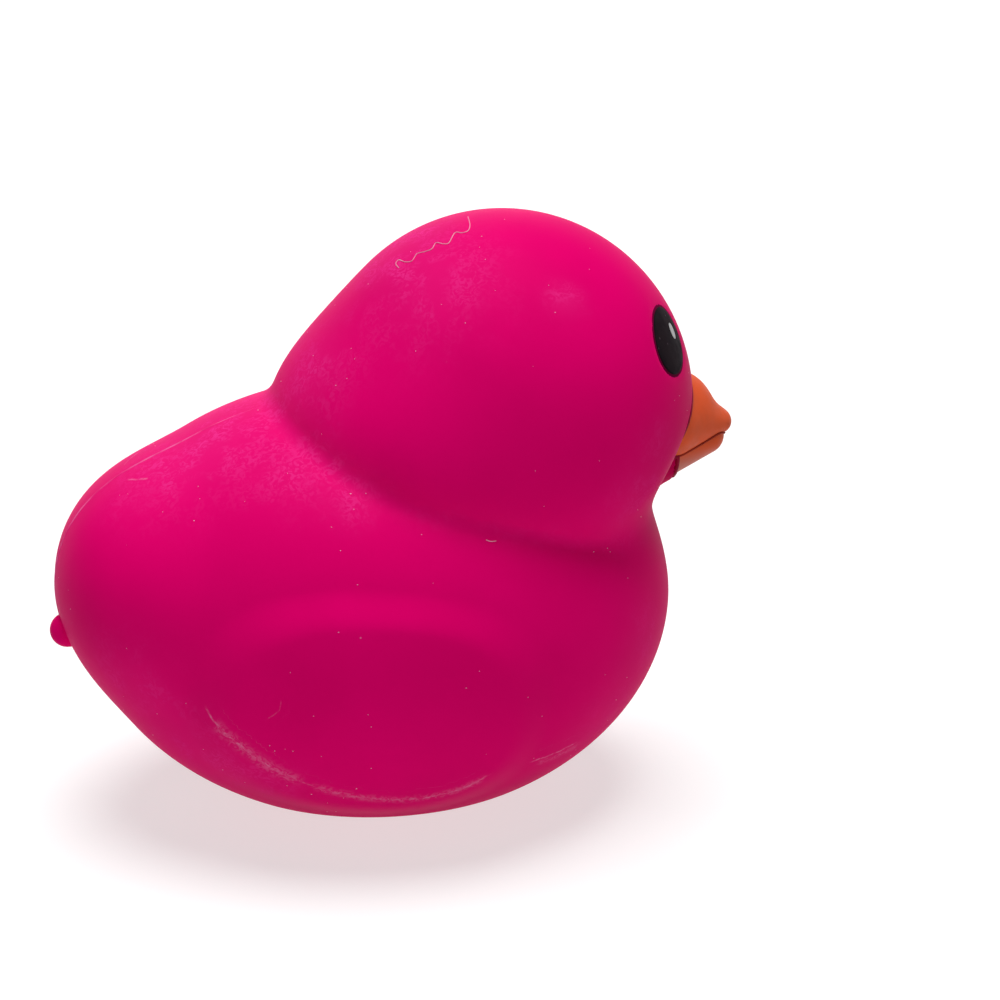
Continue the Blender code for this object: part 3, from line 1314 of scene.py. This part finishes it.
        # Painted shade: a dark band along the beak's edge for the shadow of its step, and a duller face round
        # it for the shade under head and beak.
        beak_gap = self.form.beak(places)
        aside = smooth_step((np.abs(places[:, 1]) - self.painted_shade_side[0]) / self.painted_shade_side[1])
        edge = smooth_step(1 - beak_gap / (self.painted_shade_reach[0] + self.painted_shade_reach[1] * aside))
        cheek = self.cheek_painted_shade * np.exp(-((beak_gap / self.cheek_reach) ** 2))
        give_share(shell, "painted_shade", np.maximum(edge, cheek))
        near = np.stack([places[:, 0], -np.abs(places[:, 1]), places[:, 2]], axis=1)
        side = np.full(len(places), FAR)
        scuff = np.zeros(len(places))
        for pixels, width, strength in self.scuffs:
            aside, ends = self.beside(near, self.view.spots(pixels, self.form.shell))
            closer = np.abs(aside / width) < np.abs(side)
            side = np.where(closer, aside / width, side)
            scuff = np.where(closer, strength * ends, scuff)
        give_share(shell, "scuff_side", side)
        give_share(shell, "scuff", scuff)
        smear = np.zeros(len(places))
        for pixels, width, strength in self.smears:
            aside, ends = self.beside(near, self.view.spots(pixels, self.form.shell))
            smear = np.maximum(smear, strength * ends * np.exp(-((aside / width) ** 2)))
        give_share(shell, "smear", smear)

    def beside(self, places: Points, path: Points) -> tuple[Points, Points]:
        """Where places lie beside a path on the shell.

        Args:
            places: places on the shell.
            path: the path's points.

        Returns:
            The distance to the path, below zero on one side, and a share that falls to 0 at its ends.
        """
        closest = np.full(len(places), FAR)
        aside = np.full(len(places), FAR)
        ends = np.zeros(len(places))
        lengths = np.linalg.norm(np.diff(path, axis=0), axis=1)
        done = np.concatenate([[0], np.cumsum(lengths)])
        for start, end, length, before in zip(path, path[1:], lengths, done):
            way = (end - start) / length
            across = np.cross(way, outward(self.form.shell, start[None])[0])
            share = np.clip((places - start) @ way, 0, length)
            away = places - start - share[:, None] * way
            far = np.linalg.norm(away, axis=1)
            closer = far < closest
            closest = np.where(closer, far, closest)
            aside = np.where(closer, np.sign(away @ across) * far, aside)
            along = (before + share) / done[-1]
            fade = smooth_step(along / self.end_fade) * smooth_step((1 - along) / self.end_fade)
            ends = np.where(closer, fade, ends)
        return aside, ends


@dataclass
class Beak:
    """The painted beak, with a painted shade line where it rises from the face and another in the mouth
    groove.

    Attributes:
        form: the duck's forms.
        steps: squares along each side of the balls that the halves are made of.
        trim_steps: squares along each side of the ball that trims the root.
        sink: how deep the beak starts under the face.
        seam_radius: radius of the painted shade line at the beak's sides.
        seam_least: its share of that radius at the top and bottom.
        seam_points: how many points it has.
        seam_search: how far from the root it is looked for.
        mouth_radius: radius of the painted shade line in the mouth groove.
        mouth_turn: how far round to each side the mouth line goes, in radians.
        mouth_search: the angles above the root between which it is looked for.
        mouth_points: how many points it has.
    """

    form: DuckForm
    steps: int = 44
    trim_steps: int = 40
    sink: float = 0.0010
    seam_radius: float = 0.00036
    seam_least: float = 0.6
    seam_points: int = 96
    seam_search: tuple[float, float] = (-0.0035, 0.0080)
    mouth_radius: float = 0.00013
    mouth_turn: float = 1.45
    mouth_search: tuple[float, float] = (-1.2, 0.7)
    mouth_points: int = 80

    def build(self) -> bpy.types.Object:
        """Makes the beak, the painted shade line round its root and the one in its mouth groove.

        Returns:
            The piece.
        """
        upper, lower = self.form.upper_beak(), self.form.lower_beak()
        top = self.form.skin_of(self.form.beak_top)
        beak = swollen("beak", top, (upper.root + upper.tip) / 2, self.steps)
        bottom = self.form.skin_of(lower.form)
        combine(beak, swollen("beak_lower", bottom, (lower.root + lower.tip) / 2, self.steps), "UNION")

        def trimming(points: Points) -> Points:
            """The head drawn in by the beak's sink."""
            return self.form.head(points, self.sink)

        core = swollen("core", trimming, self.form.head_centre, self.trim_steps)
        combine(beak, core, "DIFFERENCE")
        beak.data.shade_smooth()
        beak.data.set_sharp_from_angle(angle=BEAK_SHARP)
        settle(beak, Slot.BEAK, BEAK_PAINT.material())
        middle = (upper.root + lower.root) / 2
        self.root_shade_line(middle)
        self.mouth(middle)
        return beak

    def root_shade_line(self, middle: Points) -> bpy.types.Object:
        """A painted shade line round the beak's root, for the shadow of the step there, widest at its sides.

        Args:
            middle: a point inside the beak's root.

        Returns:
            The piece.
        """
        angles = np.arange(self.seam_points) * 2 * np.pi / self.seam_points
        spokes = np.stack([np.zeros(len(angles)), np.sin(angles), np.cos(angles)], axis=1)

        def rims(forward: Points) -> Points:
            """The places round the beak some way forward of its root."""
            starts = middle + forward[:, None] * np.array((1.0, 0, 0))
            return starts + spokes * surface_reach(self.form.beak, starts, spokes)[:, None]

        low, high = (np.full(len(angles), end) for end in self.seam_search)
        forward = halved(lambda steps: self.form.shell(rims(steps)) < 0, low, high)
        widths = self.seam_least + (1 - self.seam_least) * np.abs(np.sin(angles))
        item = bead("beak_painted_shade_line", rims(forward), self.seam_radius, ROOT_SHADE_PAINT.material(), True, widths)
        settle(item, Slot.VINYL)
        return item

    def mouth(self, middle: Points) -> bpy.types.Object:
        """A painted shade line in the groove between the halves.

        Args:
            middle: a point inside the beak's root.

        Returns:
            The piece.
        """
        turns = np.linspace(-self.mouth_turn, self.mouth_turn, self.mouth_points)
        lower = self.form.lower_beak()

        def lips(rise: Points) -> Points:
            """The places on the beak at an angle above its root.

            Args:
                rise: one angle in radians for each turn.

            Returns:
                One place for each, in metres.
            """
            flat = np.cos(rise)
            rays = np.stack([flat * np.cos(turns), flat * np.sin(turns), np.sin(rise)], axis=1)
            return middle + rays * surface_reach(self.form.beak, middle, rays)[:, None]

        def below(rise: Points) -> Points:
            """Whether each of those places is on the lower half."""
            places = lips(rise)
            return self.form.beak_top(places) >= lower.form(places)

        low, high = (np.full(len(turns), end) for end in self.mouth_search)
        rise = halved(below, low, high)
        item = bead("mouth_painted_shade_line", lips(rise), self.mouth_radius, MOUTH_SHADE_PAINT.material(), False)
        settle(item, Slot.BEAK)
        return item


@dataclass
class Eye:
    """One painted eye: a dark rim, the black oval on it and the light spot.

    Attributes:
        form: the duck's forms.
        side: which eye.
        rings: rings of faces from the middle of an oval to its edge.
        sides: corners round an oval.
        coat: how far each coat of paint stands above the one under it.
        depth: how many coats deep the ovals go under the shell's surface.
        rim_size: the rim's size as shares of the eye's long and short halves.
        black_size: the black's size in the same way.
        light_place: where the light spot's middle lies along the eye's long and short axes.
        light_size: the light spot's half length and half width.
        light_turn: how far the light spot is turned from the eye's long axis.
    """

    form: DuckForm
    side: Side
    rings: int = 14
    sides: int = 72
    coat: float = 0.00003
    depth: int = 3
    rim_size: tuple[float, float] = (1.03, 1.0)
    black_size: tuple[float, float] = (0.955, 0.925)
    light_place: tuple[float, float] = (0.00204, -0.00049)
    light_size: tuple[float, float] = (0.00105, 0.00068)
    light_turn: float = float(np.radians(42.0))

    def build(self) -> None:
        """Makes the three coats of paint."""
        label = self.side.name.lower()
        middle = (0.0, 0.0)
        halves = np.array(self.form.eye_halves)
        rim = self.oval("eye_rim_" + label, middle, halves * self.rim_size, 0.0, 1)
        settle(rim, Slot.EYE, RIM_PAINT.material())
        black = self.oval("eye_" + label, middle, halves * self.black_size, 0.0, 2)
        settle(black, Slot.EYE, EYE_PAINT.material())
        light = self.oval("eye_light_" + label, self.light_place, self.light_size, self.light_turn, 3)
        settle(light, Slot.EYE_LIGHT, LIGHT_PAINT.material())

    def oval(
        self, name: str, middle: Sequence[float], size: Sequence[float], turn: float, coats: int
    ) -> bpy.types.Object:
        """A thin closed oval that follows the head.

        Args:
            name: the piece's name.
            middle: its middle along the eye's long and short axes.
            size: its half length and half width.
            turn: how far it is turned from the eye's long axis.
            coats: how many coats deep the paint stands.

        Returns:
            The piece.
        """
        out, long_axis, short_axis = self.form.eye_axes(self.side)
        angles = np.arange(self.sides) * 2 * np.pi / self.sides
        shares = [(0.0, 0.0)]
        for ring in range(1, self.rings + 1):
            reach = ring / self.rings
            shares += [(reach * np.cos(angle), reach * np.sin(angle)) for angle in angles]
        along, across = (np.array(shares) * np.array(size)).T
        lengthways = along * np.cos(turn) - across * np.sin(turn) + middle[0]
        sideways = along * np.sin(turn) + across * np.cos(turn) + middle[1]
        centre = np.array(self.form.head_centre)
        starts = centre + np.outer(lengthways, long_axis) + np.outer(sideways, short_axis)
        rays = np.repeat(out[None], len(starts), axis=0)
        places = starts + rays * surface_reach(self.form.shell, starts, rays)[:, None]
        normals = outward(self.form.shell, places)
        top = places + normals * self.coat * coats
        under = places - normals * self.coat * self.depth
        count = len(top)
        faces: list[tuple[int, ...]] = []
        for step in range(self.sides):
            turned = (step + 1) % self.sides
            faces.append((0, 1 + step, 1 + turned))
            faces.append((count, count + 1 + turned, count + 1 + step))
            for ring in range(1, self.rings):
                inner = 1 + (ring - 1) * self.sides
                outer = inner + self.sides
                corners = (inner + step, outer + step, outer + turned, inner + turned)
                faces.append(corners)
                faces.append(tuple(count + corner for corner in reversed(corners)))
            rim = 1 + (self.rings - 1) * self.sides
            faces.append((rim + turned, rim + step, count + rim + step, count + rim + turned))
        item = piece_of(name, np.concatenate([top, under]), faces)
        shape = bmesh.new()
        shape.from_mesh(item.data)
        bmesh.ops.recalc_face_normals(shape, faces=shape.faces)
        shape.to_mesh(item.data)
        shape.free()
        return item


@dataclass
class MouldLine:
    """The faint line that the two halves of the mould leave down the middle of the duck's rear. Its pale
    colour is dust caught on the ridge and a painted highlight along it.

    Attributes:
        form: the duck's forms.
        radius: the bead's radius.
        proud: how far it stands out of the shell.
        span: the angles above the front in degrees, seen from the shell's middle, between which it runs.
        fades: how many degrees it takes to reach its full width at each end.
        least: its share of that width at its ends.
        points: how many points it has.
    """

    form: DuckForm
    span: tuple[float, float] = (140.0, 205.0)
    fades: tuple[float, float] = (18.0, 8.0)
    least: float = 0.05
    radius: float = 0.00026
    proud: float = 0.00010
    points: int = 420

    def build(self) -> bpy.types.Object:
        """Makes the line down the rear and under the tail.

        Returns:
            The piece.
        """
        degrees = np.linspace(*self.span, self.points)
        angles = np.radians(degrees)
        start, end = self.span
        fade = smooth_step((degrees - start) / self.fades[0]) * smooth_step((end - degrees) / self.fades[1])
        widths = self.least + (1 - self.least) * fade
        rays = np.stack([np.cos(angles), np.zeros(len(angles)), np.sin(angles)], axis=1)
        middle = np.array(self.form.shell_centre)
        places = middle + rays * surface_reach(self.form.shell, middle, rays)[:, None]
        places += outward(self.form.shell, places) * ((self.proud - self.radius) * widths)[:, None]
        item = bead("mould_line", places, self.radius, FLASH_DUST_AND_HIGHLIGHT.material(), False, widths)
        settle(item, Slot.VINYL)
        return item


@dataclass
class Dust:
    """Specks of dust scattered over the shell, and lint caught on it.

    Attributes:
        form: the duck's forms.
        view: the photograph's view, which places the lint.
        specks: about how many specks there are on each square metre.
        speck_radius: a large speck's radius.
        seed: fixes where the specks fall.
        lint_radius: radius of a lint fibre.
        long_fibre: the picture's points that the longer fibre follows.
        short_fibre: those of the shorter one.
    """

    form: DuckForm
    view: PhotoView
    specks: float = 14000.0
    speck_radius: float = 0.00011
    seed: int = 7
    lint_radius: float = 0.000055
    long_fibre: tuple[tuple[float, float], ...] = (
        (399, 268), (396, 264), (399, 260), (405, 262), (412, 261), (417, 254), (424, 252), (432, 249),
        (436, 243), (443, 244), (449, 243), (455, 233), (462, 233), (468, 231), (470, 225), (468, 217),
    )
    short_fibre: tuple[tuple[float, float], ...] = ((486, 540), (491, 541.5), (496, 541))

    def build(self, shell: bpy.types.Object) -> None:
        """Makes the specks and the fibres.

        Args:
            shell: the piece that carries them.
        """
        settle(self.scatter(shell), Slot.VINYL)
        for name, pixels in (("lint_long", self.long_fibre), ("lint_short", self.short_fibre)):
            places = self.view.spots(self.smoothed(pixels), self.form.shell)
            places += outward(self.form.shell, places) * self.lint_radius * 0.6
            item = bead(name, places, self.lint_radius, LINT_FLUFF.material(), False)
            settle(item, Slot.VINYL)

    def smoothed(self, pixels: Sequence[tuple[float, float]], finer: int = 6) -> list[tuple[float, float]]:
        """A smooth path through points of the picture.

        Args:
            pixels: the points.
            finer: steps between two points.

        Returns:
            The path's points.
        """
        ends = np.array([pixels[0], *pixels, pixels[-1]])
        path = []
        for before, first, second, after in zip(ends, ends[1:], ends[2:], ends[3:]):
            for share in np.arange(finer) / finer:
                drift = first + share * (second - before) / 2
                curve = share**2 * (before - 2.5 * first + 2 * second - after / 2)
                bend = share**3 * (1.5 * (first - second) + (after - before) / 2)
                path.append(tuple(drift + curve + bend))
        return [*path, tuple(pixels[-1])]

    def scatter(self, shell: bpy.types.Object) -> bpy.types.Object:
        """Specks on the shell's outside.

        Args:
            shell: not used; the specks lie on a skin made from the shell's form.

        Returns:
            The piece.
        """
        tree = GeometryTree(
            "dust_tree",
            {"Specks per square metre": self.specks, "Speck radius": self.speck_radius, "Seed": self.seed},
        )
        spread = tree.add(
            "GeometryNodeDistributePointsOnFaces",
            {
                "Mesh": tree.given("Geometry"),
                "Density": tree.given("Specks per square metre"),
                "Seed": tree.given("Seed"),
            },
        )
        ball = tree.add(
            "GeometryNodeMeshIcoSphere", {"Radius": tree.given("Speck radius"), "Subdivisions": 1}
        )
        sizes = tree.add(
            "FunctionNodeRandomValue",
            {"Min": (0.35, 0.35, 0.25), "Max": (1.0, 0.8, 0.5), "Seed": tree.given("Seed")},
            data_type="FLOAT_VECTOR",
        )
        placed = tree.add(
            "GeometryNodeInstanceOnPoints",
            {
                "Points": spread.outputs["Points"],
                "Instance": ball.outputs["Mesh"],
                "Rotation": spread.outputs["Rotation"],
                "Scale": sizes.outputs[0],
            },
        )
        tree.finish(placed.outputs[0], DUST_FLUFF.material())
        skin = swollen("dust_skin", self.form.shell, self.form.shell_centre, 40)
        item = tree.grow("dust_specks", skin)
        item.data.shade_smooth()
        return item


@dataclass
class Studio:
    """The floor, the lamps and the white surroundings.

    Attributes:
        floor_half: half the floor's side.
        key: strength of the broad lamp overhead.
        right: strength of the soft lamp low on the duck's right.
        left: strength of the soft lamp low on its left.
        air: strength of the light from all round.
        floor_grey: how much of the light that falls on it the floor gives back.
        floor_glow: how much light the floor gives of itself, so that the underside isn't dull.
        seen_floor: the same two for rays that see the background, so that the floor looks white.
        softness: each lamp's width in degrees as seen from the duck.
        key_turn: the overhead lamp's turns about X and Y in degrees, from straight down.
        fill_turn: how far down to each side the fill lamps stand, in degrees.
    """

    floor_half: float = 3.0
    key: float = 2.95
    right: float = 0.42
    left: float = 0.30
    air: float = 0.05
    floor_grey: float = 0.42
    floor_glow: float = 0.26
    seen_floor: tuple[float, float] = (0.50, 0.62)
    softness: float = 40.0
    key_turn: tuple[float, float] = (-6.0, 1.5)
    fill_turn: float = 75.0

    def build(self) -> None:
        """Makes the stage."""
        half = self.floor_half
        corners = np.array([(-half, -half, 0), (half, -half, 0), (half, half, 0), (-half, half, 0)])
        floor = piece_of("floor", corners, [(0, 1, 2, 3)])
        floor.data.materials.append(self.floor_paint())
        self.lamp("overhead", self.key, self.key_turn)
        self.lamp("right_fill", self.right, (self.fill_turn, 0))
        self.lamp("left_fill", self.left, (-self.fill_turn, 0))
        self.surroundings()

    def lamp(self, name: str, strength: float, turn: tuple[float, float]) -> None:
        """A broad soft lamp far away.

        Args:
            name: the lamp's name.
            strength: how bright it is.
            turn: its turns about X and Y in degrees, from straight down.
        """
        light = bpy.data.lights.new(name, "SUN")
        light.energy = strength
        light.angle = float(np.radians(self.softness))
        linked(name, light).rotation_euler = (np.radians(turn[0]), np.radians(turn[1]), 0)

    def seen_ray(self, tree: bpy.types.NodeTree) -> bpy.types.NodeSocket:
        """A value that is 1 for rays that see the background, straight, mirrored or through glass.

        Args:
            tree: the tree that uses it.

        Returns:
            The value's socket.
        """
        path = add_node(tree, "ShaderNodeLightPath", {})
        seen = path.outputs["Is Camera Ray"]
        for label in ("Is Glossy Ray", "Is Transmission Ray"):
            links = {0: seen, 1: path.outputs[label]}
            seen = add_node(tree, "ShaderNodeMath", links, operation="MAXIMUM").outputs[0]
        return seen

    def floor_paint(self) -> bpy.types.Material:
        """A floor that looks white, keeps shadows and lights the duck less than it looks.

        Returns:
            The material.
        """
        material = bpy.data.materials.new("floor_paint")
        material.use_nodes = True
        tree = material.node_tree
        tree.nodes.remove(tree.nodes["Principled BSDF"])
        coats = []
        for grey, strength in ((self.floor_grey, self.floor_glow), self.seen_floor):
            paint = add_node(tree, "ShaderNodeBsdfDiffuse", {"Color": (grey, grey, grey, 1)})
            glow = add_node(tree, "ShaderNodeEmission", {"Strength": strength})
            both = add_node(tree, "ShaderNodeAddShader", {0: paint.outputs[0], 1: glow.outputs[0]})
            coats.append(both.outputs[0])
        self.by_ray(tree, coats, "Material Output")
        return material

    def by_ray(self, tree: bpy.types.NodeTree, choices: Sequence[bpy.types.NodeSocket], end: str) -> None:
        """Ends a tree in one of two shaders.

        Args:
            tree: the tree.
            choices: the shader for other rays and the one for rays that see the background.
            end: the name of the output node.
        """
        links = {0: self.seen_ray(tree), 1: choices[0], 2: choices[1]}
        choice = add_node(tree, "ShaderNodeMixShader", links)
        tree.links.new(choice.outputs[0], tree.nodes[end].inputs["Surface"])

    def surroundings(self) -> None:
        """White where it is seen, dimmer as a light."""
        world = bpy.data.worlds.new("studio_air")
        world.use_nodes = True
        tree = world.node_tree
        dim = tree.nodes["Background"]
        dim.inputs["Color"].default_value = (1, 1, 1, 1)
        dim.inputs["Strength"].default_value = self.air
        bright = add_node(tree, "ShaderNodeBackground", {"Color": (1, 1, 1, 1)})
        self.by_ray(tree, (dim.outputs[0], bright.outputs[0]), "World Output")
        bpy.context.scene.world = world


def main() -> None:
    """Builds the dressed duck and its studio."""
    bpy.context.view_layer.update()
    view = PhotoView()
    view.camera()
    form = DuckForm()
    shell = Moulding(form, view).build()
    Beak(form).build()
    for side in Side:
        Eye(form, side).build()
    MouldLine(form).build()
    Dust(form, view).build(shell)
    Studio().build()
    bpy.context.scene.view_settings.view_transform = "Standard"


if __name__ == "__main__":
    logging.basicConfig(level=logging.INFO, format="%(message)s")
    main()
